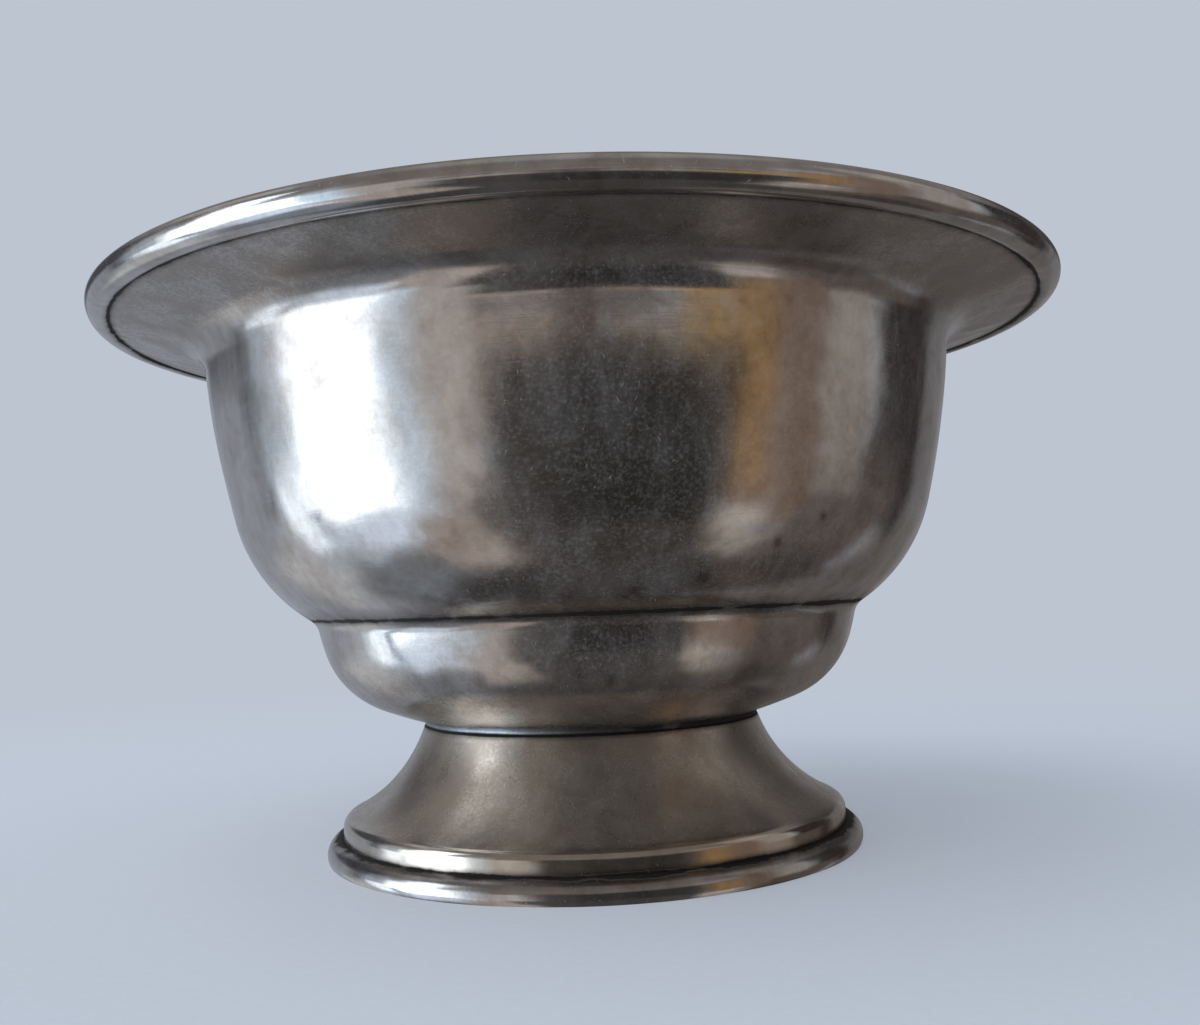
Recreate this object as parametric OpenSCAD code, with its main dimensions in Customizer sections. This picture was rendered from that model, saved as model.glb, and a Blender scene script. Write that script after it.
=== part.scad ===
// Footed metal cup: a spun bowl with a wire round its brim, soldered onto a flared, hollow foot.
// Every piece is turned about the Z axis, in millimetres, and the cup stands on z = 0.
// A lean is the angle of a wall from upright, in degrees, and grows as the wall draws in.

/* [Rim] */
// Diameter over the wire round the rim
rim_d = 150; // [146:1:154]
// Height of the cup over the rim wire
cup_h = 85.5; // [84:0.1:88]
// Diameter of the wire round the rim
rim_wire_d = 4.2; // [3.6:0.1:4.8]
// Rise of the brim towards its edge, in degrees
brim_rise = 14; // [10:1:18]
// Radius of the turn from the brim down into the belly
brim_turn_r = 5.7; // [5:0.1:6.4]

/* [Bowl] */
// Thickness of the spun sheet of the bowl
bowl_t = 0.9; // [0.6:0.1:1.2]
// Outer diameter of the belly just under the brim
belly_d = 117; // [115:0.2:119]
// Lean of the belly just under the brim
belly_top_lean = 5.2; // [4.6:0.1:5.8]
// Radius of the long curve of the belly's side
belly_side_r = 143; // [135:1:150]
// Lean where the side ends and the round begins
belly_knee_lean = 14.4; // [13.6:0.1:15]
// Radius of the belly's round lower part
belly_round_r = 25.4; // [24:0.2:27]
// Lean of the belly where it meets the step
belly_end_lean = 56.7; // [55:0.1:58]

/* [Lower tier] */
// Radius of the hollow turn at the step
step_crease_r = 3; // [2.4:0.1:3.6]
// Lean of the lower tier's wall just under the step
tier_top_lean = 12.4; // [11:0.1:13.8]
// Radius of the lower tier's wall
tier_wall_r = 45; // [40:1:50]
// Lean where the lower tier's wall ends and its round begins
tier_knee_lean = 16.5; // [15.5:0.5:18]
// Radius of the lower tier's round
tier_round_r = 14.2; // [13.6:0.1:14.8]
// Lean where the round runs out into the underside
tier_end_lean = 68.5; // [67:0.5:70]
// Radius of the slightly hollowed-out underside down to the neck
tier_underside_r = 90; // [80:1:100]
// Lean of the underside at the neck
neck_lean = 73; // [72:0.5:74]

/* [Foot] */
// Thickness of the spun sheet of the foot
foot_t = 0.9; // [0.6:0.1:1.2]
// Thickness of the solder between the foot and the bowl
neck_gap = 0.45; // [0.3:0.05:0.6]
// Diameter of the hole in the middle of the foot's crown
crown_hole_d = 30; // [20:1:40]
// Rounding of the crown's outer edge
crown_edge_r = 0.7; // [0.5:0.1:1]
// Slope of the flare from upright where it leaves the neck
flare_top_lean = 19.5; // [17:0.5:21]
// Radius of the hollow flare
flare_r = 22.5; // [21:0.1:23]
// Slope of the flare from upright where it reaches the shoulder
flare_end_lean = 65.4; // [63:0.1:67]
// Rounding of the shoulder above the upright band
shoulder_r = 1.7; // [1.2:0.1:2.2]

/* [Foot wire] */
// Radius of the half-round wire's outer side
foot_wire_r = 2.25; // [1.9:0.05:2.6]
// Height of the middle of that outer side above the ground
foot_wire_z = 0.95; // [0.8:0.05:1.3]
// How far the middle of that outer side lies outside the foot's band
foot_wire_out = 0.25; // [0.1:0.05:0.5]

/* [Hidden] */
$fn = 180;

// Points on each turn of a section
turn_steps = 10;
// Place round the rim wire, from its outer side, where the brim's underside meets it
brim_seat_angle = -122;
// Rounding from the lower tier's underside into the flat base
base_turn_r = 2;
// Height above the ground of the foot's sheet edge
foot_edge_z = 0.5;
// Clearance of the hidden solder from the ground and from the neck's outline
solder_inset = 0.15;
// Length along the brim and place round the wire that the rim's solder reaches
rim_solder_l = 1.2;
rim_solder_angle = 165;

// A section is walked as a list of [radius, height, heading]. Heading 0 is straight down,
// 90 is outwards and -90 is inwards. The sheet lies to the right of the walk.
function run(p, l) = [p.x + l * sin(p.z), p.y - l * cos(p.z), p.z];
function turn_point(p, h, r) =
    [p.x + r * (cos(p.z) - cos(h)), p.y + r * (sin(p.z) - sin(h)), h];
function turn(p, h, r) =
    [for (i = [1:turn_steps]) turn_point(p, p.z + (h - p.z) * i / turn_steps, r)];
function last(walk) = walk[len(walk) - 1];
function place(p) = [p.x, p.y];
// The other face of a sheet of thickness t, walked back
function back(walk, t) =
    [for (i = [len(walk) - 1:-1:0])
        [walk[i].x - t * cos(walk[i].z), walk[i].y - t * sin(walk[i].z)]];

// Rim wire and the edge of the brim that sits against it
rim_wire_at = [(rim_d - rim_wire_d) / 2, cup_h - rim_wire_d / 2];
brim_heading = brim_rise - 90;
brim_edge = concat(
    rim_wire_at + rim_wire_d / 2 * [cos(brim_seat_angle), sin(brim_seat_angle)],
    brim_heading);
brim_turn_w = brim_turn_r * (cos(belly_top_lean) - cos(brim_heading));
brim_l = (brim_edge.x - belly_d / 2 - brim_turn_w) / cos(brim_rise);

// Outside of the bowl from the brim's edge down to the middle of its base
brim_end = run(brim_edge, brim_l);
brim_turn = turn(brim_end, -belly_top_lean, brim_turn_r);
belly_side = turn(last(brim_turn), -belly_knee_lean, -belly_side_r);
belly_round = turn(last(belly_side), -belly_end_lean, -belly_round_r);
step_crease = turn(last(belly_round), -tier_top_lean, step_crease_r);
tier_wall = turn(last(step_crease), -tier_knee_lean, -tier_wall_r);
tier_round = turn(last(tier_wall), -tier_end_lean, -tier_round_r);
tier_underside = turn(last(tier_round), -neck_lean, -tier_underside_r);
base_turn = turn(last(tier_underside), -90, -base_turn_r);
base_z = last(base_turn).y;
bowl_outside = concat(
    [brim_edge, brim_end], brim_turn, belly_side, belly_round, step_crease,
    tier_wall, tier_round, tier_underside, base_turn, [[0, base_z, -90]]);

// Outside of the foot from the crown's hole to the sheet's bottom edge
crown_z = base_z - neck_gap;
crown_edge = [last(base_turn).x, crown_z, 90];
crown_turn = turn(crown_edge, flare_top_lean, -crown_edge_r);
flare = turn(last(crown_turn), flare_end_lean, flare_r);
shoulder = turn(last(flare), 0, -shoulder_r);
band_r = last(shoulder).x;
foot_outside = concat(
    [[crown_hole_d / 2, crown_z, 90], crown_edge], crown_turn, flare, shoulder,
    [[band_r, foot_edge_z, 0]]);

// Upper face of the brim where the rim's solder lies
brim_top = [brim_edge.x - bowl_t * cos(brim_heading), brim_edge.y - bowl_t * sin(brim_heading)];
brim_in = [-cos(brim_rise), -sin(brim_rise)];

module turned(points) {
    rotate_extrude() polygon(points);
}

module rim_ring() {
    rotate_extrude() translate(rim_wire_at) circle(d = rim_wire_d);
}

// One spun sheet: brim, belly, step, lower tier and flat base, its edge hollowed for the wire
module bowl() {
    color("#a39d97")
    difference() {
        turned(concat([for (p = bowl_outside) place(p)], back(bowl_outside, bowl_t)));
        rim_ring();
    }
}

// Round drawn wire bent into a ring round the brim
module rim_wire() {
    color("#b4b0ac") rim_ring();
}

// Fillet of solder in the corner between the brim's upper face and the wire
module rim_solder() {
    solder_foot = brim_top + (rim_solder_l + rim_wire_d / 4) * brim_in;
    solder_top = rim_wire_at
        + (rim_wire_d - solder_inset) / 2 * [cos(rim_solder_angle), sin(rim_solder_angle)];
    color("#8b8883")
    difference() {
        turned([solder_foot, brim_top, solder_top]);
        rim_ring();
    }
}

// One spun sheet: flat crown, hollow flare, shoulder and upright band, open below
module foot() {
    color("#9a938b")
    turned(concat([for (p = foot_outside) place(p)], back(foot_outside, foot_t)));
}

// Half-round wire round the foot's band, worn flat where the cup stands on it
module foot_wire() {
    wire_mid = [band_r + foot_wire_out, foot_wire_z];
    color("#b0aba5")
    rotate_extrude()
    intersection() {
        translate(wire_mid) circle(r = foot_wire_r);
        translate([band_r, 0]) square(2 * foot_wire_r);
    }
}

// Solder run in under the foot's sheet edge, against the wire
module foot_solder() {
    color("#8b8883")
    rotate_extrude()
    translate([band_r - foot_t, solder_inset]) square([foot_t, foot_edge_z - solder_inset]);
}

// Flat seam of solder between the foot's crown and the bowl's base
module neck_solder() {
    seam_w = crown_edge.x - solder_inset - crown_hole_d / 2;
    color("#3b3835")
    rotate_extrude()
    translate([crown_hole_d / 2, crown_z]) square([seam_w, neck_gap]);
}

bowl();
rim_wire();
rim_solder();
foot();
foot_wire();
foot_solder();
neck_solder();
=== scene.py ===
# A footed metal cup: a spun bowl with a wired brim, standing on a spun hollow foot.
# Every piece is turned about the Z axis, and sizes are in millimetres unless a comment says metres.
import math
import bpy
from mathutils import Matrix, Vector


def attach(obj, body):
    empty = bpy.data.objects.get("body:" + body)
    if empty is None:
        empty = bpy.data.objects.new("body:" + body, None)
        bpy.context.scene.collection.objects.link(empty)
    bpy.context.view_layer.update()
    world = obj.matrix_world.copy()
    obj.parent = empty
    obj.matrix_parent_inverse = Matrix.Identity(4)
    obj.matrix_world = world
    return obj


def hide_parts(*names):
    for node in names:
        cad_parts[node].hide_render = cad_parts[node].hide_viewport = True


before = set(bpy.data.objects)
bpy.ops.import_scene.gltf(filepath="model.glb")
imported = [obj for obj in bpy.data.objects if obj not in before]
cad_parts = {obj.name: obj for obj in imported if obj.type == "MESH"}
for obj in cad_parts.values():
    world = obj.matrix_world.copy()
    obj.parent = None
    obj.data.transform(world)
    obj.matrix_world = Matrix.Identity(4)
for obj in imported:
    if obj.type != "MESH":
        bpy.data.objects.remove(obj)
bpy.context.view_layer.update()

# The bowl
# One disc of brass sheet, spun over a former into brim, belly, step and lower tier, then silver plated.
# The plate is worn and greyish brown, polished on the belly and duller under the brim.
MM = 0.001  # in metres
SHEET = 0.9
# Places on a section are (radius, height). A heading is in degrees: 0 is down, 90 out and -90 in.
BRIM_EDGE = (71.79, 81.62)
BRIM_FOOT = (62.8, 79.38)
BRIM_HEADING = -76.0
BRIM_STEPS = 16
BOWL_TURNS = (
    # heading at the end, radius (plus turns out, minus turns in), steps
    (-5.2, 5.7, 20),  # brim down into the belly
    (-14.4, -143.0, 26),  # side of the belly
    (-56.7, -25.4, 34),  # round of the belly
    (-12.4, 3.0, 16),  # crease of the step
    (-16.5, -45.0, 8),  # wall of the lower tier
    (-68.5, -14.2, 32),  # round of the lower tier
    (-73.0, -90.0, 8),  # its underside
    (-90.0, -2.0, 8),  # turn into the flat base
)
# Rings across the flat base, as shares of its radius
BASE_RINGS = (0.98, 0.95, 0.9, 0.8, 0.6, 0.4, 0.2, 0.0)
STEP_CREASE = (43.9, 36.83)
# Centre of a softer stain and painted shade above the step
STEP_STAIN_AND_SHADE = (44.6, 37.2)
TIER_TOP = STEP_CREASE[1] - 1.0
# Radius of the belly, at which the map round a piece is true to size
BELLY_R = 57.0
# Dullness runs from 0, polished, to 1, and each change has its height and the height it takes
BRIM_DULL_FROM = 77.2
BRIM_DULL_OVER = 1.9
TIER_DULL = 0.12
TIER_DULLER_BELOW = 31.0
TIER_DULLER_OVER = 6.0
TIER_DULLER_BY = 0.68
# Waves that leave the cup out of true: size, waves round it, radians for each mm of height, start in radians
OUTWARD_WAVES = (
    (0.08, 2, 0.0, 0.6),
    (0.04, 3, 0.02, 2.1),
    (0.022, 9, 0.19, 0.0),
    (0.018, 14, -0.27, 1.0),
    (0.010, 21, 0.41, 2.3),
)
UPWARD_WAVES = (
    (0.08, 2, 0.0, 2.4),
    (0.05, 3, 0.0, 0.3),
)
# Height at which the upward waves are at their full size
UPWARD_FULL_AT = 85.0
BELLY_DENTS = (
    # degrees round from the front (plus is right), height, reach, depth
    (-52.0, 63.0, 7.0, 0.06),
    (-38.0, 49.0, 8.0, 0.07),
    (-21.0, 58.0, 9.0, 0.05),
    (-6.0, 46.0, 7.0, 0.06),
    (9.0, 61.0, 8.0, 0.05),
    (24.0, 52.0, 7.0, 0.06),
    (37.0, 65.0, 8.0, 0.06),
    (55.0, 50.0, 9.0, 0.07),
    (98.0, 58.0, 9.0, 0.07),
    (141.0, 50.0, 8.0, 0.06),
    (-170.0, 62.0, 9.0, 0.07),
    (-121.0, 54.0, 8.0, 0.06),
    (-84.0, 60.0, 9.0, 0.06),
)
TARNISH_SPOTS = (
    # degrees round from the front, height, reach and strength of a dark spot on the belly or the tier
    (28.1, 44.9, 0.8, 1.1),
    (17.5, 40.9, 1.0, 0.8),
    (35.1, 48.1, 0.6, 0.9),
    (7.4, 39.6, 0.9, 0.6),
    (-9.0, 39.9, 2.2, 0.5),
    (-3.0, 50.3, 4.0, 0.25),
    (-12.5, 40.6, 1.2, 0.55),
    (-10.5, 50.3, 1.8, 0.35),
    (-21.0, 28.7, 1.6, 0.5),
    (-2.0, 29.0, 1.5, 0.55),
    (3.7, 28.1, 1.2, 0.5),
    (104.0, 47.0, 0.9, 1.0),
    (166.0, 61.0, 0.8, 1.0),
    (-143.0, 52.0, 1.0, 0.9),
)
# A dent or spot has faded out at this many times its reach
FADED = 3.0


def arc(start, heading, radius, steps):
    """Points (radius, height, heading) along a round part of a section, without its first one."""
    r, z, first = start
    made = []
    for i in range(1, steps + 1):
        now = first + (heading - first) * i / steps
        a, b = math.radians(first), math.radians(now)
        out = radius * (math.cos(a) - math.cos(b))
        up = radius * (math.sin(a) - math.sin(b))
        made.append((r + out, z + up, now))
    return made


def straight(start, end, steps):
    """Points along a straight part of a section, without its first one."""
    r, z, heading = start
    return [
        (r + (end[0] - r) * i / steps, z + (end[1] - z) * i / steps, heading)
        for i in range(1, steps + 1)
    ]


def other_face(points, thickness):
    """The sheet's other face, walked back the other way."""
    return [
        (r - thickness * math.cos(math.radians(h)), z - thickness * math.sin(math.radians(h)), h)
        for r, z, h in reversed(points)
    ]


def clamp(value, low=0.0, high=1.0):
    """The value, kept between low and high."""
    return min(max(value, low), high)


def way_round(angle, degrees):
    """Length round the belly from a place given in degrees to an angle in radians, the shorter way."""
    return ((angle - math.radians(degrees) + math.pi) % math.tau - math.pi) * BELLY_R


def hand_made(angle, z):
    """How far, outwards and upwards, the real cup strays from true at this place."""
    out, up = 0.0, 0.0
    for size, count, twist, start in OUTWARD_WAVES:
        out += size * math.sin(count * angle + twist * z + start)
    for size, count, twist, start in UPWARD_WAVES:
        up += size * math.sin(count * angle + twist * z + start)
    for degrees, height, reach, depth in BELLY_DENTS:
        away = way_round(angle, degrees) ** 2 + (z - height) ** 2
        if away < (FADED * reach) ** 2:
            out -= depth * math.exp(-away / reach ** 2)
    return out, up * z / UPWARD_FULL_AT


def dirt_and_shade_near_creases(r, z, creases):
    """How much dirt and painted shade darken a place, 0 when clean, near creases given as (radius, height,
    reach, amount).
    """
    near = [0.0]
    for crease_r, crease_z, reach, amount in creases:
        away = (r - crease_r) ** 2 + (z - crease_z) ** 2
        near.append(amount * math.exp(-away / reach ** 2))
    return max(near)


def into_scene(name, data):
    """A new object in the scene."""
    made = bpy.data.objects.new(name, data)
    bpy.context.scene.collection.objects.link(made)
    return made


# Points round each ring
AROUND = 360
# A ring smaller than this is one point on the axis
AXIS_R = 0.01
# Inside this radius the map lies flat on the base, set apart from the rest, and no pattern pinches
FLAT_MAP_R = 26.0
FLAT_MAP_APART = 100.0
# Width on the map of the strip that closes a section
CLOSING_STRIP = 1.0
# How closely the dust keeps to the front
DUST_NARROWNESS = 8
SHARP_EDGE = math.radians(40)


def spin(name, section, creases, dull_at):
    """Turns a closed section of (radius, height, heading) points about Z into one smooth mesh.

    The mesh carries a map in millimetres (round the piece, along the section) and three masks per point:
    dirt and painted shade near creases, dull where the polish is gone, and dusty along the front, where most
    dust lies.
    """
    verts, rings = [], []
    masks = {"dirt_and_crease_shade": [], "dull": [], "dusty": []}
    along = 0.0
    before = section[0]
    for r, z, heading in section:
        along += math.hypot(r - before[0], z - before[1])
        before = (r, z, heading)
        at_axis = r < AXIS_R
        ring = []
        for k in range(1 if at_axis else AROUND):
            angle = math.tau * k / AROUND + math.pi
            out, up = (0.0, 0.0) if at_axis else hand_made(angle, z)
            ring.append(len(verts))
            verts.append((
                (r + out) * math.sin(angle) * MM,
                -(r + out) * math.cos(angle) * MM,
                max(z + up, 0.0) * MM,
            ))
            masks["dirt_and_crease_shade"].append(dirt_and_shade_near_creases(r, z, creases))
            masks["dull"].append(dull_at(r, z))
            masks["dusty"].append(max(math.cos(angle), 0.0) ** DUST_NARROWNESS)
        rings.append((ring * AROUND if at_axis else ring, along, r))
    first_ring, _, first_r = rings[0]
    if first_r > AXIS_R:
        rings.append((first_ring, along + CLOSING_STRIP, first_r))

    faces, corners = [], []
    for (low, low_along, low_r), (high, high_along, high_r) in zip(rings, rings[1:]):
        flat = max(low_r, high_r) < FLAT_MAP_R
        for k in range(AROUND):
            n = (k + 1) % AROUND
            quad = [(low[k], k, low_along), (high[k], k, high_along)]
            quad += [(high[n], k + 1, high_along), (low[n], k + 1, low_along)]
            face, places = [], []
            for vert, step, v in quad:
                if vert in face:
                    continue
                face.append(vert)
                if flat:
                    places.append((verts[vert][0] / MM, verts[vert][1] / MM - FLAT_MAP_APART))
                else:
                    places.append((step / AROUND * math.tau * BELLY_R, v))
            if len(face) > 2:
                faces.append(face)
                corners += places

    mesh = bpy.data.meshes.new(name)
    mesh.from_pydata(verts, [], faces)
    layer = mesh.uv_layers.new(name="turned_mm")
    layer.data.foreach_set("uv", [c for corner in corners for c in corner])
    for label, values in masks.items():
        mesh.attributes.new(label, "FLOAT", "POINT").data.foreach_set("value", values)
    mesh.polygons.foreach_set("use_smooth", [True] * len(mesh.polygons))
    mesh.set_sharp_from_angle(angle=SHARP_EDGE)
    return into_scene(name, mesh)


def linear(hex_colour):
    """An sRGB hex colour as linear RGBA."""
    parts = [int(hex_colour[i:i + 2], 16) / 255 for i in (1, 3, 5)]
    return tuple(c / 12.92 if c <= 0.04045 else ((c + 0.055) / 1.055) ** 2.4 for c in parts) + (1.0,)


def empty_material(name):
    """A new material with no nodes yet, and its node tree."""
    material = bpy.data.materials.new(name)
    material.use_nodes = True
    material.node_tree.nodes.clear()
    return material, material.node_tree


def add(tree, kind, inputs=None, **settings):
    """Adds one node with its settings, sets or links its inputs, and gives back its first output in use."""
    made = tree.nodes.new("ShaderNode" + kind)
    for label, value in settings.items():
        setattr(made, label, value)
    for socket, value in (inputs or {}).items():
        if isinstance(value, bpy.types.NodeSocket):
            tree.links.new(value, made.inputs[socket])
        else:
            made.inputs[socket].default_value = value
    return next((o for o in made.outputs if o.enabled), None)


# Sizes of the marks on the plate: patches, wiping marks (across, upright), ripples of the spinning, and
# cells that hold one fibre, speck or pit each. Real grain is finer, and is drawn this coarse to show.
CLOUD = 14.0
SMEAR = 6.0
MOTTLE = 2.2
GRAIN = 0.45
WIPE = (5.0, 13.0)
RIPPLE = 7.0
LINT_CELL = 1.6
SPECK_CELL = 0.8
PIT_CELL = 6.0
HAIRLINES = (
    # lean in radians from the way round, length, width, and the noise level above which one shows
    (1.3, 9.0, 0.16, 0.66),
    (1.95, 6.0, 0.14, 0.67),
)
HAIRLINE_EDGE = 0.1
# Depths of the relief, in metres
RIPPLE_DEPTH = 0.05 * MM
FINE_DEPTH = 0.004 * MM
# Colours of the dirt and painted shade in the creases: a brown stain and a black crust
STAIN_AND_SHADE = "#4d443d"
CRUST_AND_SHADE = "#17130f"
LINT = "#cfcac0"
DIRT_ROUGHNESS = 0.7
# Roughness that a hairline and a full stain add to the metal's
HAIRLINE_ROUGHNESS = 0.06
STAIN_ROUGHNESS = 0.2
# How much coarser the film of dust gets where the plate is dull and along the front
COARSER_DULL = 0.8
COARSER_FRONT = 0.9


def lint_on(tree, sheet_map):
    """Mask of lint: one curved fibre, up to 1 mm long and mostly upright, in some of the cells.

    Real fibres are 0.02 mm wide, and are drawn 0.07 mm wide to show.
    """
    cell = add(tree, "TexVoronoi", {"Vector": sheet_map, "Scale": 1 / LINT_CELL},
               voronoi_dimensions="2D").node
    chance = add(tree, "SeparateColor", {"Color": cell.outputs["Color"]}).node
    offset = add(tree, "VectorMath", {0: sheet_map, 1: cell.outputs["Position"]}, operation="SUBTRACT")
    lean = add(tree, "MapRange", {"Value": chance.outputs[0], "To Min": -0.7, "To Max": 0.7})
    offset = add(tree, "VectorRotate", {"Vector": offset, "Angle": lean}, rotation_type="Z_AXIS")
    offset = add(tree, "SeparateXYZ", {"Vector": offset}).node
    across, upright = offset.outputs[0], offset.outputs[1]
    bend = add(tree, "Math", {0: upright, 1: upright}, operation="MULTIPLY")
    curl = add(tree, "MapRange", {"Value": chance.outputs[1], "To Min": -0.6, "To Max": 0.6})
    bend = add(tree, "Math", {0: bend, 1: curl, 2: across}, operation="MULTIPLY_ADD")
    bend = add(tree, "Math", {0: bend}, operation="ABSOLUTE")
    thin = add(tree, "MapRange", {"Value": bend, "From Min": 0.055, "From Max": 0.015})
    reach = add(tree, "Math", {0: upright}, operation="ABSOLUTE")
    longest = add(tree, "MapRange", {"Value": chance.outputs[1], "To Min": 0.05, "To Max": 0.5})
    reach = add(tree, "Math", {0: longest, 1: reach}, operation="SUBTRACT")
    reach = add(tree, "MapRange", {"Value": reach, "From Min": 0.0, "From Max": 0.3})
    fibre = add(tree, "Math", {0: thin, 1: reach}, operation="MULTIPLY")
    present = add(tree, "MapRange", {"Value": chance.outputs[2], "From Min": 0.45, "To Max": 0.26})
    return add(tree, "Math", {0: fibre, 1: present}, operation="MULTIPLY")


def specks_on(tree, sheet_map):
    """Mask of dust: one faint speck, up to 0.18 mm across, in some of the cells."""
    cell = add(tree, "TexVoronoi", {"Vector": sheet_map, "Scale": 1 / SPECK_CELL},
               voronoi_dimensions="2D").node
    chance = add(tree, "SeparateColor", {"Color": cell.outputs["Color"]}).node
    size = add(tree, "MapRange", {"Value": chance.outputs[0], "From Min": 0.6, "To Max": 0.09})
    away = add(tree, "Math", {0: cell.outputs["Distance"], 1: SPECK_CELL}, operation="MULTIPLY")
    speck = add(tree, "Math", {0: size, 1: away}, operation="SUBTRACT")
    return add(tree, "MapRange", {"Value": speck, "From Min": 0.0, "From Max": 0.06, "To Max": 0.12})


def pits_on(tree, sheet_map, dull_mask, ragged):
    """Mask of pits where the plate has gone: up to 0.4 mm across, in a tenth of the cells of dull places."""
    cell = add(tree, "TexVoronoi", {"Vector": sheet_map, "Scale": 1 / PIT_CELL},
               voronoi_dimensions="2D").node
    chance = add(tree, "SeparateColor", {"Color": cell.outputs["Color"]}).node
    size = add(tree, "MapRange", {"Value": chance.outputs[0], "From Min": 0.9, "To Max": 0.22})
    size = add(tree, "Math", {0: size, 1: dull_mask}, operation="MULTIPLY")
    away = add(tree, "Math", {0: cell.outputs["Distance"], 1: PIT_CELL}, operation="MULTIPLY")
    pit = add(tree, "Math", {0: size, 1: away}, operation="SUBTRACT")
    pit = add(tree, "Math", {0: ragged, 1: size, 2: pit}, operation="MULTIPLY_ADD")
    return add(tree, "MapRange", {"Value": pit, "From Min": 0.0, "From Max": 0.15, "To Max": 0.85})


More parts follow.
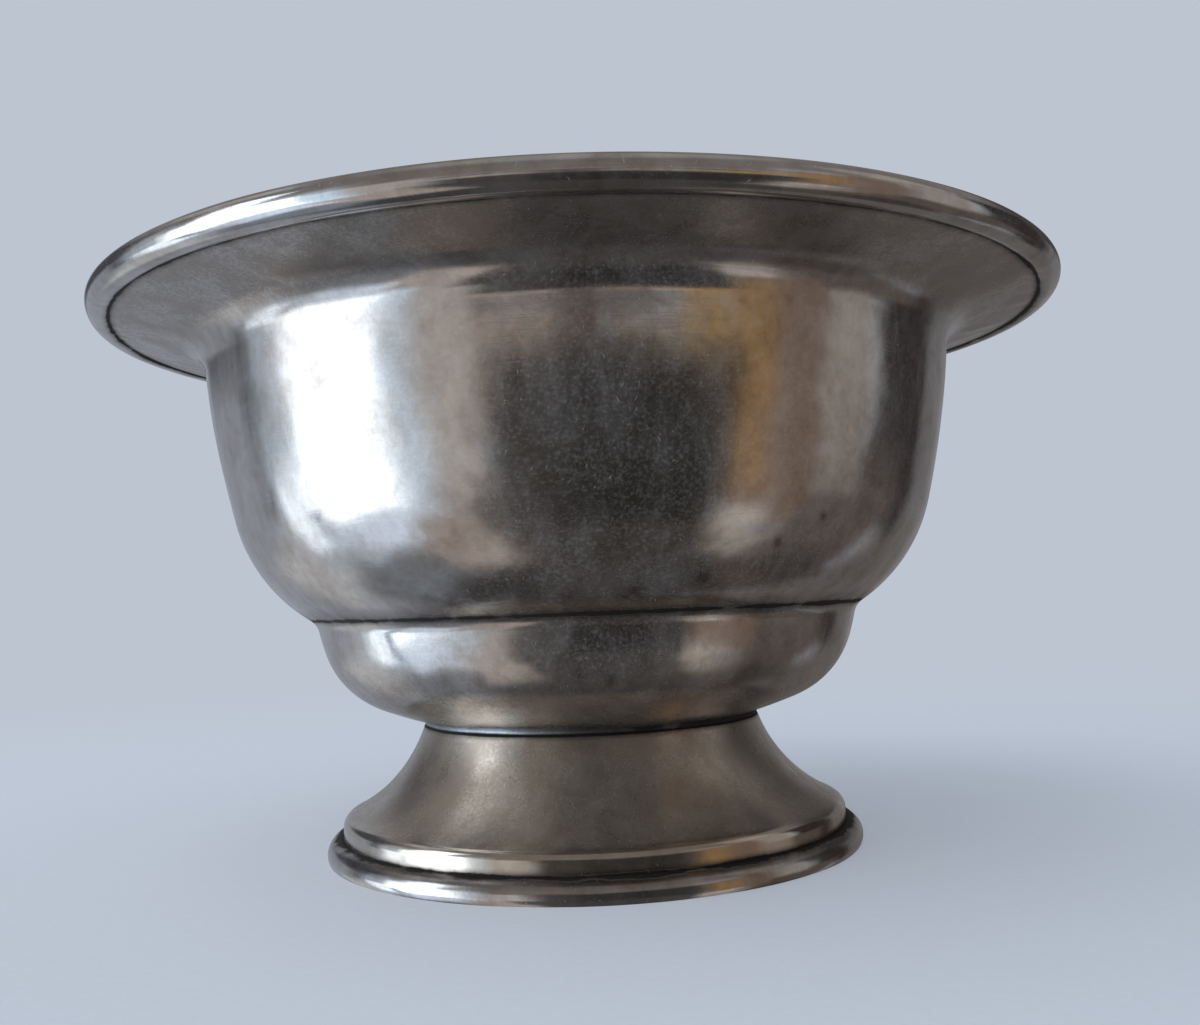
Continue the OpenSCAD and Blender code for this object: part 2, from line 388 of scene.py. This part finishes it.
def silver_plate(name, clean, tarnish, polish, satin, dust, veil):
    """Worn silver plate, spun and then rubbed for years: a soft mirror with brownish cloudy patches.

    Hairlines and smears blur the reflections, dirt and painted shade darken the creases, and lint and dust
    lie on it.
    polish and satin are the roughness of the rubbed and of the dull places, and dust is the amount on each.
    veil is how far an even matt film covers the dull places, from 0 to 1.
    """
    material, tree = empty_material(name)
    place = add(tree, "TexCoord").node.outputs["Object"]
    sheet_map = add(tree, "UVMap", uv_map="turned_mm")
    dirt_and_shade_mask = add(tree, "Attribute", attribute_name="dirt_and_crease_shade").node.outputs["Fac"]
    dull_mask = add(tree, "Attribute", attribute_name="dull").node.outputs["Fac"]
    dusty_mask = add(tree, "Attribute", attribute_name="dusty").node.outputs["Fac"]

    # Clouds, smears, mottling, upright wiping marks and a fine grain
    cloud = add(tree, "TexNoise", {"Vector": place, "Scale": 1 / (CLOUD * MM), "Detail": 6.0,
                                   "Roughness": 0.6, "Distortion": 0.5})
    smear = add(tree, "TexNoise", {"Vector": place, "Scale": 1 / (SMEAR * MM), "Detail": 6.0,
                                   "Roughness": 0.64, "Distortion": 0.3})
    mottle = add(tree, "TexNoise", {"Vector": place, "Scale": 1 / (MOTTLE * MM), "Detail": 5.0,
                                    "Roughness": 0.62, "Distortion": 0.4})
    grain = add(tree, "TexNoise", {"Vector": place, "Scale": 1 / (GRAIN * MM), "Detail": 3.0,
                                   "Roughness": 0.7})
    across, upright = (1 / (size * MM) for size in WIPE)
    wiped = add(tree, "Mapping", {"Vector": place, "Scale": (across, across, upright)})
    wiped = add(tree, "TexNoise", {"Vector": wiped, "Scale": 1.0, "Detail": 7.0,
                                   "Roughness": 0.66, "Distortion": 0.7})

    # Tarnish: brown clouds, smears and spots over the clean plate, and more of it where the plate is dull
    patch = add(tree, "MapRange", {"Value": cloud, "From Min": 0.4, "From Max": 0.68, "To Max": 0.55})
    streak = add(tree, "MapRange", {"Value": smear, "From Min": 0.42, "From Max": 0.7, "To Max": 0.4})
    spots = add(tree, "MapRange", {"Value": mottle, "From Min": 0.45, "From Max": 0.75, "To Max": 0.35})
    worn = add(tree, "Math", {0: patch, 1: streak}, operation="ADD")
    worn = add(tree, "Math", {0: worn, 1: spots}, operation="ADD")
    crumbs = add(tree, "MapRange", {"Value": grain, "From Min": 0.38, "From Max": 0.64,
                                    "To Min": 0.1, "To Max": 0.9})
    worn = add(tree, "Math", {0: dull_mask, 1: crumbs, 2: worn}, operation="MULTIPLY_ADD", use_clamp=True)
    metal = add(tree, "Mix", {0: worn, 6: linear(clean), 7: linear(tarnish)}, data_type="RGBA")

    # Hairlines up the sheet at two leans; real ones are 0.02 mm wide and are drawn 0.15 mm wide to show
    hairline = 0.0
    for lean, length, width, level in HAIRLINES:
        lines = add(tree, "Mapping", {"Vector": sheet_map, "Rotation": (0, 0, lean),
                                      "Scale": (1 / length, 1 / width, 1)})
        lines = add(tree, "TexNoise", {"Vector": lines, "Scale": 1.0, "Detail": 1.0}, noise_dimensions="2D")
        lines = add(tree, "MapRange", {"Value": lines, "From Min": level, "From Max": level + HAIRLINE_EDGE})
        hairline = add(tree, "Math", {0: hairline, 1: lines}, operation="MAXIMUM")
    polished = add(tree, "MapRange", {"Value": dull_mask, "To Min": 1.0, "To Max": 0.1})
    hairline = add(tree, "Math", {0: hairline, 1: polished}, operation="MULTIPLY")

    # Roughness goes from the polished to the satin value, with wiping, clouds, mottling and hairlines on top
    gloss = add(tree, "MapRange", {"Value": dull_mask, "To Min": polish, "To Max": satin})
    for pattern, low, high, smoother, rougher in (
        (wiped, 0.38, 0.66, -0.03, 0.06),
        (cloud, 0.4, 0.7, -0.02, 0.05),
        (mottle, 0.35, 0.75, -0.02, 0.03),
    ):
        haze = add(tree, "MapRange", {"Value": pattern, "From Min": low, "From Max": high,
                                      "To Min": smoother, "To Max": rougher})
        gloss = add(tree, "Math", {0: gloss, 1: haze}, operation="ADD")
    gloss = add(tree, "Math", {0: hairline, 1: HAIRLINE_ROUGHNESS, 2: gloss}, operation="MULTIPLY_ADD")

    # Dirt and painted shade in the creases: a soft brown stain, and a black crust at the bottom with a
    # ragged edge
    ragged = add(tree, "MapRange", {"Value": mottle, "From Min": 0.3, "From Max": 0.7,
                                    "To Min": -0.14, "To Max": 0.14})
    thick = add(tree, "MapRange", {"Value": cloud, "From Min": 0.38, "From Max": 0.62,
                                   "To Min": 0.85, "To Max": 1.2})
    thick = add(tree, "Math", {0: thick, 1: ragged}, operation="ADD")
    dirt_and_shade = add(tree, "Math", {0: dirt_and_shade_mask, 1: thick}, operation="MULTIPLY")
    stain_and_shade = add(tree, "MapRange", {"Value": dirt_and_shade, "From Min": 0.08, "From Max": 0.75, "To Max": 0.75})
    metal = add(tree, "Mix", {0: stain_and_shade, 6: metal, 7: linear(STAIN_AND_SHADE)}, data_type="RGBA")
    gloss = add(tree, "Math", {0: stain_and_shade, 1: STAIN_ROUGHNESS, 2: gloss}, operation="MULTIPLY_ADD")
    crust_and_shade = add(tree, "MapRange", {"Value": dirt_and_shade, "From Min": 0.7, "From Max": 0.86})
    pits = pits_on(tree, sheet_map, dull_mask, ragged)
    crust_and_shade = add(tree, "Math", {0: crust_and_shade, 1: pits}, operation="MAXIMUM")

    # Lint and specks, most of them along the front
    fibres = lint_on(tree, sheet_map)
    specks = specks_on(tree, sheet_map)
    lint = add(tree, "Math", {0: fibres, 1: specks}, operation="MAXIMUM")
    settled = add(tree, "MapRange", {"Value": dusty_mask, "To Min": 0.35, "To Max": 1.4})
    lint = add(tree, "Math", {0: lint, 1: settled}, operation="MULTIPLY")

    # Colours: dirt and painted crease shade over metal, and lint over both
    colour = add(tree, "Mix", {0: crust_and_shade, 6: metal, 7: linear(CRUST_AND_SHADE)}, data_type="RGBA")
    colour = add(tree, "Mix", {0: lint, 6: colour, 7: linear(LINT)}, data_type="RGBA")
    cover = add(tree, "Math", {0: crust_and_shade, 1: lint}, operation="MAXIMUM")
    rough = add(tree, "Mix", {0: cover, 2: gloss, 3: DIRT_ROUGHNESS}, data_type="FLOAT")

    # A thin film of dust, wiped unevenly and sandy where it is thick, takes a little off the metal
    film = add(tree, "MapRange", {"Value": wiped, "From Min": 0.4, "From Max": 0.68, "To Max": 0.09})
    sand = add(tree, "MapRange", {"Value": grain, "From Min": 0.47, "From Max": 0.72, "To Max": 0.1})
    coarser = add(tree, "Math", {0: dull_mask, 1: COARSER_DULL, 2: 1.0}, operation="MULTIPLY_ADD")
    coarser = add(tree, "Math", {0: dusty_mask, 1: COARSER_FRONT, 2: coarser}, operation="MULTIPLY_ADD")
    sand = add(tree, "Math", {0: sand, 1: coarser}, operation="MULTIPLY")
    film = add(tree, "Math", {0: film, 1: sand}, operation="ADD")
    amount = add(tree, "MapRange", {"Value": dull_mask, "To Min": dust[0], "To Max": dust[1]})
    film = add(tree, "Math", {0: film, 1: amount}, operation="MULTIPLY")
    film = add(tree, "Math", {0: dull_mask, 1: veil, 2: film}, operation="MULTIPLY_ADD")
    bare = add(tree, "Math", {0: 1.0, 1: film}, operation="SUBTRACT")
    bare = add(tree, "Math", {0: bare, 1: cover}, operation="SUBTRACT", use_clamp=True)

    # Relief: slow ripples of the spinning, then mottling, grain and hairlines
    ripple = add(tree, "TexNoise", {"Vector": place, "Scale": 1 / (RIPPLE * MM), "Detail": 2.0})
    relief = add(tree, "Bump", {"Strength": 1.0, "Distance": RIPPLE_DEPTH, "Height": ripple})
    relief = add(tree, "Bump", {"Strength": 1.0, "Distance": FINE_DEPTH, "Height": mottle, "Normal": relief})
    relief = add(tree, "Bump", {"Strength": 1.0, "Distance": FINE_DEPTH, "Height": grain, "Normal": relief})
    relief = add(tree, "Bump", {"Strength": 0.3, "Distance": FINE_DEPTH, "Height": hairline,
                                "Normal": relief}, invert=True)
    surface = add(tree, "BsdfPrincipled", {"Base Color": colour, "Metallic": bare, "Roughness": rough,
                                           "Normal": relief})
    add(tree, "OutputMaterial", {"Surface": surface})
    return material


brim = (*BRIM_EDGE, BRIM_HEADING)
bowl_outside = [brim] + straight(brim, BRIM_FOOT, BRIM_STEPS)
for end_heading, arc_radius, arc_steps in BOWL_TURNS:
    bowl_outside += arc(bowl_outside[-1], end_heading, arc_radius, arc_steps)
base_r, base_z, base_heading = bowl_outside[-1]
bowl_section = bowl_outside + [(base_r * share, base_z, base_heading) for share in BASE_RINGS]
bowl_section += [(base_r * share, base_z + SHEET, base_heading) for share in reversed(BASE_RINGS)]
bowl_section += other_face(bowl_outside, SHEET)


def bowl_dull(r, z):
    """The brim is dull, the belly polished, and the lower tier less so, most of all towards the neck."""
    if z < TIER_TOP:
        return TIER_DULL + TIER_DULLER_BY * clamp((TIER_DULLER_BELOW - z) / TIER_DULLER_OVER)
    return clamp((z - BRIM_DULL_FROM) / BRIM_DULL_OVER)


bowl_creases = [
    # place, reach and amount of the dirt and painted shade at the wire, in the step, and in a softer stain
    # and painted shade above the step
    (*BRIM_EDGE, 0.55, 1.0),
    (*STEP_CREASE, 0.95, 1.0),
    (*STEP_STAIN_AND_SHADE, 1.8, 0.5),
]
bowl = spin("bowl_sheet", bowl_section, bowl_creases, bowl_dull)
bowl_dirt_and_shade = bowl.data.attributes["dirt_and_crease_shade"].data
for vert in bowl.data.vertices[:len(bowl_outside) * AROUND]:
    for degrees, height, reach, strength in TARNISH_SPOTS:
        rise = vert.co.z / MM - height
        if abs(rise) < FADED * reach:
            sideways = way_round(math.atan2(vert.co.x, -vert.co.y), degrees)
            spot = strength * math.exp(-(rise ** 2 + sideways ** 2) / reach ** 2)
            bowl_dirt_and_shade[vert.index].value = max(bowl_dirt_and_shade[vert.index].value, spot)
# Polished and then long used: soft mirror images on the belly, and a brownish grey sheen under the brim
worn_plate = silver_plate("worn silver plate", "#c8c4c0", "#9d948c", polish=0.14, satin=0.27,
                          dust=(1.0, 0.8), veil=0.05)
bowl.data.materials.append(worn_plate)
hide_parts("bowl")
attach(bowl, "root")

# The rim wire
# A ring of drawn brass wire soldered round the brim's edge to stiffen it, and plated with the bowl.
# Hands and cloths have rubbed it brighter than the sheet.
RIM_WIRE_AT = (72.9, 83.4)
RIM_WIRE_R = 2.1
WIRE_STEPS = 40
RUBBED = 0.15


def round_wire(centre, radius, first, last):
    """Points round a wire's section between two angles in degrees, 0 outwards and 90 up."""
    made = []
    for i in range(WIRE_STEPS + 1):
        a = math.radians(first + (last - first) * i / WIRE_STEPS)
        made.append((centre[0] + radius * math.cos(a), centre[1] + radius * math.sin(a), 0.0))
    return made


def rubbed(r, z):
    """Rubbed smooth all over, with a little tarnish left."""
    return RUBBED


rim_wire_section = round_wire(RIM_WIRE_AT, RIM_WIRE_R, 0.0, -360.0)[:-1]
# Dirt and painted shade darken the wire where it meets the brim
rim_wire = spin("rim_wire_ring", rim_wire_section, [(*BRIM_EDGE, 0.75, 1.1)], rubbed)
# Plated wire rubbed by hands: narrow bright highlights along the bead, with hardly any dust
rubbed_wire = silver_plate("rubbed silver wire", "#cccac9", "#a59d95", polish=0.11, satin=0.14,
                           dust=(0.3, 0.3), veil=0.0)
rim_wire.data.materials.append(rubbed_wire)
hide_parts("rim_wire")
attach(rim_wire, "root")

# The rim solder
# A fillet of hard solder, run by a torch into the corner between the brim's upper face and the wire.
# It is dull and slightly lumpy.
RIM_SOLDER = (
    # along the fillet's face from the brim up to the wire, then back inside the wire
    (69.77, 82.01, 0.0),
    (70.35, 82.30, 0.0),
    (70.72, 82.85, 0.0),
    (70.92, 83.93, 0.0),
    (71.4, 83.2, 0.0),
    (71.6, 82.4, 0.0),
)


def all_dull(r, z):
    """Left as the torch left it."""
    return 1.0


# Hard solder left unpolished: grey, with a broad dull sheen
hard_solder = silver_plate("dull hard solder", "#a09b93", "#7d756b", polish=0.3, satin=0.45,
                           dust=(1.0, 1.0), veil=0.0)
rim_solder = spin("rim_solder_fillet", RIM_SOLDER, [], all_dull)
rim_solder.data.materials.append(hard_solder)
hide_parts("rim_solder")
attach(rim_solder, "root")

# The foot
# A second spun and plated brass sheet: a flat crown soldered under the bowl's base, a hollow flare,
# a shoulder and a short upright band. The flare is left satin, and the shoulder and band are polished.
NECK_GAP = 0.45
CROWN_Z = base_z - NECK_GAP
CROWN_HOLE_R = 15.0
CROWN_EDGE_R = base_r
CROWN_STEPS = 6
FOOT_SHEET = 0.9
BAND_END_Z = 0.5
BAND_STEPS = 24
FOOT_TURNS = (
    # heading at the end, radius (plus turns out, minus turns in), steps
    (19.5, -0.7, 8),  # edge of the crown
    (65.4, 22.5, 30),  # flare
    (0.0, -1.7, 16),  # shoulder
)
SHOULDER_RISE = 1.3
SATIN_OVER = 0.6
foot_outside = [(CROWN_HOLE_R, CROWN_Z, 90.0)]
foot_outside += straight(foot_outside[0], (CROWN_EDGE_R, CROWN_Z), CROWN_STEPS)
for end_heading, arc_radius, arc_steps in FOOT_TURNS:
    foot_outside += arc(foot_outside[-1], end_heading, arc_radius, arc_steps)
BAND_R, BAND_TOP_Z, _ = foot_outside[-1]
foot_outside += straight(foot_outside[-1], (BAND_R, BAND_END_Z), BAND_STEPS)


def flare_dull(r, z):
    """The flare is satin down to the shoulder; the shoulder and the band below it are polished."""
    return clamp((z - BAND_TOP_Z - SHOULDER_RISE) / SATIN_OVER)


foot_creases = [
    # place, reach and amount of the dirt and painted shade at the neck and where the foot's wire meets the
    # band
    (CROWN_EDGE_R + 0.5, CROWN_Z - 0.2, 0.36, 1.1),
    (BAND_R, 3.0, 0.8, 1.0),
]
foot = spin("foot_sheet", foot_outside + other_face(foot_outside, FOOT_SHEET), foot_creases, flare_dull)
# Plate left satin: broad soft highlights on the flare under an even matt film, clear ones on the band
satin_plate = silver_plate("satin silver plate", "#cac3b8", "#ab9f91", polish=0.12, satin=0.25,
                           dust=(0.3, 0.6), veil=0.13)
foot.data.materials.append(satin_plate)
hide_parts("foot")
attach(foot, "root")

# The foot wire
# Half-round brass wire soldered round the bottom of the foot and plated with it.
# The cup stands on its flat worn edge, and dirt and painted shade darken the wire above it.
FOOT_WIRE_AT = (BAND_R + 0.25, 0.95)
FOOT_WIRE_R = 2.25
WIRE_TOP = math.degrees(math.acos((BAND_R - FOOT_WIRE_AT[0]) / FOOT_WIRE_R))
WIRE_END = -math.degrees(math.asin(FOOT_WIRE_AT[1] / FOOT_WIRE_R))
foot_wire_section = round_wire(FOOT_WIRE_AT, FOOT_WIRE_R, WIRE_TOP, WIRE_END) + [(BAND_R, 0.0, 0.0)]
foot_wire = spin("foot_wire_ring", foot_wire_section, [(BAND_R, 3.2, 2.2, 1.0)], rubbed)
foot_wire.data.materials.append(rubbed_wire)
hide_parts("foot_wire")
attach(foot_wire, "root")

# The foot solder
# Hard solder run in under the edge of the foot's sheet, against the wire.
# It is only seen from below.
foot_solder_section = [
    # down the wire's inner face, in along the slightly hollow lower face and up to the sheet's edge
    (BAND_R, BAND_END_Z, 0.0),
    (BAND_R, 0.15, 0.0),
    (BAND_R - 0.6, 0.2, 0.0),
    (BAND_R - FOOT_SHEET, 0.3, 0.0),
    (BAND_R - FOOT_SHEET, BAND_END_Z, 0.0),
]
foot_solder = spin("foot_solder_run", foot_solder_section, [], all_dull)
foot_solder.data.materials.append(hard_solder)
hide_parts("foot_solder")
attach(foot_solder, "root")

# The neck solder
# The flat seam of solder between crown and base, its edge drawn out in a small fillet that fills the neck.
# It is grey and dull on the left; dirt and painted shade blacken its lower edge, and painted shade blackens
# it round to the right.
SEAM_PROUD = 0.52
SEAM_HOLLOW = 0.06
SEAM_ABOVE = 0.05
SEAM_BELOW = 0.1
SEAM_STEPS = 8
# Dirt and painted shade in the middle of the front, the painted shade that the far right adds to it, and
# their least and most
SEAM_DIRT_AND_SHADE = 0.5
SEAM_SHADE_RIGHT = 0.9
SEAM_DIRT_AND_SHADE_RANGE = (0.05, 1.2)
seam_r = CROWN_EDGE_R + SEAM_PROUD
seam_low_z = CROWN_Z - SEAM_BELOW
neck_section = [(CROWN_HOLE_R, CROWN_Z + NECK_GAP, 0.0)]
for i in range(SEAM_STEPS + 1):
    rise = 1 - i / SEAM_STEPS
    seam_z = seam_low_z + (SEAM_BELOW + NECK_GAP + SEAM_ABOVE) * rise
    neck_section.append((seam_r - SEAM_HOLLOW * (2 * rise - 1) ** 2, seam_z, 0.0))
neck_section.append((CROWN_HOLE_R, CROWN_Z, 0.0))
neck_solder = spin("neck_solder_seam", neck_section, [(seam_r, seam_low_z, 0.2, 1.1)], all_dull)
# Dirt and painted shade over the whole seam, darker towards the right
for vert, mark in zip(neck_solder.data.vertices, neck_solder.data.attributes["dirt_and_crease_shade"].data):
    rightward = vert.co.x / MM / CROWN_EDGE_R
    mark.value = max(mark.value, clamp(SEAM_DIRT_AND_SHADE + SEAM_SHADE_RIGHT * rightward, *SEAM_DIRT_AND_SHADE_RANGE))
# Solder wiped flush: a cool grey line with a dull sheen where dirt and painted shade leave it bare
grey_solder = silver_plate("grey solder", "#a9b0b8", "#878c92", polish=0.3, satin=0.34,
                           dust=(1.0, 1.0), veil=0.0)
neck_solder.data.materials.append(grey_solder)
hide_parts("neck_solder")
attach(neck_solder, "root")

# The floor and the backdrop
# A table top covered in pale matt paper, which fades into a plain backdrop of the same colour.
# Reflections don't show the floor, because cards stand for what lies below the cup there.
BACKDROP = "#bdc5d1"
PAPER = ("#d3d9e2", "#dce2ea")
PAPER_FIBRE = 1.5
FLOOR_SIDES = 96
# In metres
FLOOR_R = 1.0
FADE_FROM = 0.04
FADE_TO = 0.45
PAPER_TOOTH = 0.08 * MM
# How far the backdrop shows through the floor next to the cup, from 0 to 1
FADE_LEAST = 0.42
floor_edge = []
for k in range(FLOOR_SIDES):
    angle = math.tau * k / FLOOR_SIDES
    floor_edge.append((FLOOR_R * math.sin(angle), FLOOR_R * math.cos(angle), 0.0))
floor_mesh = bpy.data.meshes.new("floor")
floor_mesh.from_pydata(floor_edge, [], [list(reversed(range(FLOOR_SIDES)))])
floor = into_scene("floor", floor_mesh)
# Paper: quite matt, with a faint cloudiness and tooth from its fibres
floor_paper, tree = empty_material("pale matt paper")
floor_place = add(tree, "TexCoord").node.outputs["Object"]
distance = add(tree, "VectorMath", {0: floor_place}, operation="LENGTH").node.outputs["Value"]
fade = add(tree, "MapRange", {"Value": distance, "From Min": FADE_FROM, "From Max": FADE_TO,
                              "To Min": FADE_LEAST}, interpolation_type="SMOOTHSTEP")
fibre = add(tree, "TexNoise", {"Vector": floor_place, "Scale": 1 / (PAPER_FIBRE * MM), "Detail": 4.0,
                               "Roughness": 0.6})
paper = add(tree, "Mix", {0: fibre, 6: linear(PAPER[0]), 7: linear(PAPER[1])}, data_type="RGBA")
tooth = add(tree, "Bump", {"Strength": 0.4, "Distance": PAPER_TOOTH, "Height": fibre})
matt = add(tree, "BsdfDiffuse", {"Color": paper, "Normal": tooth})
clear = add(tree, "BsdfTransparent")
both = add(tree, "MixShader", {0: fade, 1: matt, 2: clear})
add(tree, "OutputMaterial", {"Surface": both})
floor_mesh.materials.append(floor_paper)
floor.visible_glossy = False

world = bpy.data.worlds.new("pale backdrop")
world.use_nodes = True
tree = world.node_tree
tree.nodes.clear()
sky = add(tree, "Background", {"Color": linear(BACKDROP), "Strength": 1.0})
add(tree, "OutputWorld", {"Surface": sky})
bpy.context.scene.world = world

# The lights
# A soft lamp from the upper left lights the table, and cards stand round the set as in a product studio;
# they glow as painted reflections, not as lamps.
# Only reflections show the cards: white on the left, dark in front, and brown and grey on the right.
CARD_STEPS = 30
LAMP_WATTS = 12.0
# In metres
CARD_CENTRE = Vector((0.0, 0.0, 0.045))
LAMP_PLACE = Vector((-0.85, -0.45, 1.15))
LAMP_SIZE = 1.8


def card(name, azimuth, elevation, feather, colour, strength, distance):
    """A curved card with soft edges, which covers those farther from the cup.

    azimuth and elevation are from and to, and feather is the width of the soft edge of each, all in degrees.
    Azimuth 0 is behind the camera and plus is right. distance is in metres.
    """
    points, quads, cover = [], [], []
    whole_turn = azimuth[1] - azimuth[0] >= 360
    for i in range(CARD_STEPS + 1):
        a = azimuth[0] + (azimuth[1] - azimuth[0]) * i / CARD_STEPS
        side = 1.0 if whole_turn else min(a - azimuth[0], azimuth[1] - a) / feather[0]
        for j in range(CARD_STEPS + 1):
            e = elevation[0] + (elevation[1] - elevation[0]) * j / CARD_STEPS
            low = 1.0 if elevation[0] <= -90 else (e - elevation[0]) / feather[1]
            high = 1.0 if elevation[1] >= 90 else (elevation[1] - e) / feather[1]
            t = clamp(min(side, low, high))
            cover.append(t * t * (3 - 2 * t))
            ar, er = math.radians(a), math.radians(e)
            spot = Vector((math.sin(ar) * math.cos(er), -math.cos(ar) * math.cos(er), math.sin(er)))
            points.append(CARD_CENTRE + spot * distance)
    for i in range(CARD_STEPS):
        for j in range(CARD_STEPS):
            first = i * (CARD_STEPS + 1) + j
            quads.append((first, first + 1, first + CARD_STEPS + 2, first + CARD_STEPS + 1))
    mesh = bpy.data.meshes.new(name)
    mesh.from_pydata(points, [], quads)
    mesh.attributes.new("cover", "FLOAT", "POINT").data.foreach_set("value", cover)
    board = into_scene(name, mesh)
    # A painted reflection: the card glows evenly, though it is no lamp, and thins out to nothing at its
    # edges
    paint, tree = empty_material(name + " card")
    shown = add(tree, "Attribute", attribute_name="cover").node.outputs["Fac"]
    glow = add(tree, "Emission", {"Color": linear(colour), "Strength": strength})
    clear = add(tree, "BsdfTransparent")
    both = add(tree, "MixShader", {0: shown, 1: clear, 2: glow})
    add(tree, "OutputMaterial", {"Surface": both})
    paint.cycles.emission_sampling = "NONE"
    mesh.materials.append(paint)
    board.visible_camera = False
    board.visible_diffuse = False
    board.visible_shadow = False
    board.visible_transmission = False


# Above, below and behind
card("grey_above", (-180, 180), (18, 90), (1, 16), "#868280", 1.0, 1.60)
card("pale_above", (-180, 180), (58, 90), (1, 18), "#a8a6a4", 1.0, 1.595)
card("dark_below", (-180, 180), (-90, -28), (1, 22), "#4d4c4d", 1.0, 1.58)
card("grey_back_left", (-180, -112), (-62, 34), (12, 14), "#a0a6b1", 1.0, 1.57)
card("grey_back_right", (118, 180), (-70, 34), (14, 14), "#7d7c7e", 1.0, 1.57)
card("pale_left_back", (-142, -98), (-46, -13), (13, 10), "#d8dce2", 1.0, 1.565)
card("pale_back_right", (140, 180), (-16, 20), (12, 10), "#8c8c90", 1.0, 1.56)
card("low_back_right", (112, 180), (-72, -4), (14, 10), "#716d6b", 1.0, 1.555)
card("dark_back_low", (150, 198), (-64, -35), (10, 8), "#2c2826", 1.0, 1.55)
card("dim_back_right_high", (120, 166), (9, 38), (10, 8), "#4b4745", 1.0, 1.548)

# To the sides, farther off
card("dark_right", (92, 131), (-24, 34), (8, 9), "#3b3635", 1.0, 1.54)
card("dim_right_low", (66, 121), (-66, -3), (10, 9), "#655c57", 1.0, 1.535)
card("dark_right_low", (84, 127), (-60, -35), (10, 8), "#4a4441", 1.0, 1.53)
card("dark_left", (-121, -98), (-14, 14), (8, 7), "#646a74", 1.0, 1.54)
card("dark_left_high", (-150, -104), (4, 34), (10, 8), "#50525a", 1.0, 1.54)
card("pale_left_high", (-134, -92), (34, 60), (11, 9), "#c2c4c6", 1.0, 1.53)
card("pale_right_high", (64, 104), (26, 56), (12, 10), "#b8b2aa", 1.0, 1.53)
card("grey_right", (68, 97), (-22, 34), (9, 14), "#aaa39d", 1.0, 1.52)
card("brown_right", (56, 78), (-42, 34), (7, 10), "#857469", 1.0, 1.51)

# In front, round the camera
card("grey_front_high", (-50, 46), (7, 45), (6, 6), "#8a837e", 1.0, 1.525)
card("dark_front_high", (-34, 44), (1, 10), (9, 4), "#544d4a", 1.0, 1.52)
card("beige_front_left", (-48, 0), (-14, 5), (8, 4), "#b6aaa1", 1.0, 1.51)
card("olive_front_right", (5, 40), (-15, 3), (8, 4), "#a7957a", 1.0, 1.51)
card("gold_front_right", (27, 48), (-16, 7), (8, 5), "#b5945f", 1.0, 1.505)
card("dim_front", (-11, 12), (-12, 8), (9, 3), "#746863", 1.0, 1.50)

# To the front right
card("brown_right_near", (42, 64), (-39, 26), (6, 9), "#90796c", 1.0, 1.49)
card("gold_right", (38, 61), (-27, 22), (8, 9), "#a68863", 1.0, 1.485)
card("pale_right_low", (39, 66), (-50, -26), (7, 8), "#d3ccc4", 1.0, 1.48)
card("pale_right_lower", (48, 78), (-60, -37), (10, 10), "#b9b2aa", 1.0, 1.475)

# To the front left, where the light comes from
card("grey_left", (-54, -25), (-34, 16), (8, 8), "#cdc8c5", 1.0, 1.49)
card("pink_left_low", (-74, -27), (-68, -22), (9, 10), "#c6bdb8", 1.0, 1.485)
card("blue_left_low", (-120, -62), (-66, -36), (12, 9), "#8d96a1", 1.0, 1.48)
card("dim_left_front", (-38, -20), (-47, -20), (7, 7), "#5a5653", 1.0, 1.478)
card("blue_left", (-67, -43), (-32, 16), (8, 7), "#d3e7fb", 1.35, 1.475)
card("white_left_low", (-95, -56), (-46, -12), (8, 11), "#d9eaff", 1.45, 1.47)
card("blue_left_edge", (-113, -84), (-38, 14), (8, 7), "#c3d3e4", 1.0, 1.465)
card("white_left_side", (-109, -88), (-32, -3), (6, 7), "#e2f0ff", 2.3, 1.46)
card("white_left_high", (-91, -66), (10, 43), (7, 8), "#e6f2ff", 3.5, 1.455)
card("white_left", (-97, -53), (-24, 19), (9, 6), "#e6f2ff", 3.5, 1.45)
card("blue_left_gap", (-96, -86), (-32, -11), (4, 6), "#a9bdd2", 1.0, 1.44)

# Close in front, just behind the camera
card("flag", (-27, 44), (-80, 6), (8, 3), "#4f4d4c", 1.0, 0.205)
card("flag_core", (-10, 38), (-36, 5), (9, 8), "#3c3b3b", 1.0, 0.2)

lamp_data = bpy.data.lights.new("soft lamp", "AREA")
lamp_data.shape = "SQUARE"
lamp_data.size = LAMP_SIZE
lamp_data.energy = LAMP_WATTS
lamp = into_scene("soft lamp", lamp_data)
lamp.location = LAMP_PLACE
lamp.rotation_euler = (CARD_CENTRE - LAMP_PLACE).to_track_quat("-Z", "Y").to_euler()
lamp.visible_glossy = False

# The camera
# It stands where the photograph was taken from: level with the middle of the cup, about 20 cm from its axis.
# Its place is in metres and its turns are in degrees.
CAMERA_PLACE = Vector((0.0, -0.19632, 0.03945))
YAW = 0.80
PITCH = 3.81
ROLL = -2.26
SENSOR = 36.0
LENS = 36.0
camera_data = bpy.data.cameras.new("camera")
camera_data.sensor_fit = "HORIZONTAL"
camera_data.sensor_width = SENSOR
camera_data.lens = LENS
camera_data.clip_start = 0.01
camera_data.clip_end = 10.0
camera = into_scene("camera", camera_data)
camera.matrix_world = (
    Matrix.Translation(CAMERA_PLACE)
    @ Matrix.Rotation(math.radians(-YAW), 4, "Z")
    @ Matrix.Rotation(math.radians(90.0 + PITCH), 4, "X")
    @ Matrix.Rotation(math.radians(ROLL), 4, "Z")
)
bpy.context.scene.camera = camera
bpy.context.scene.view_settings.view_transform = "Standard"
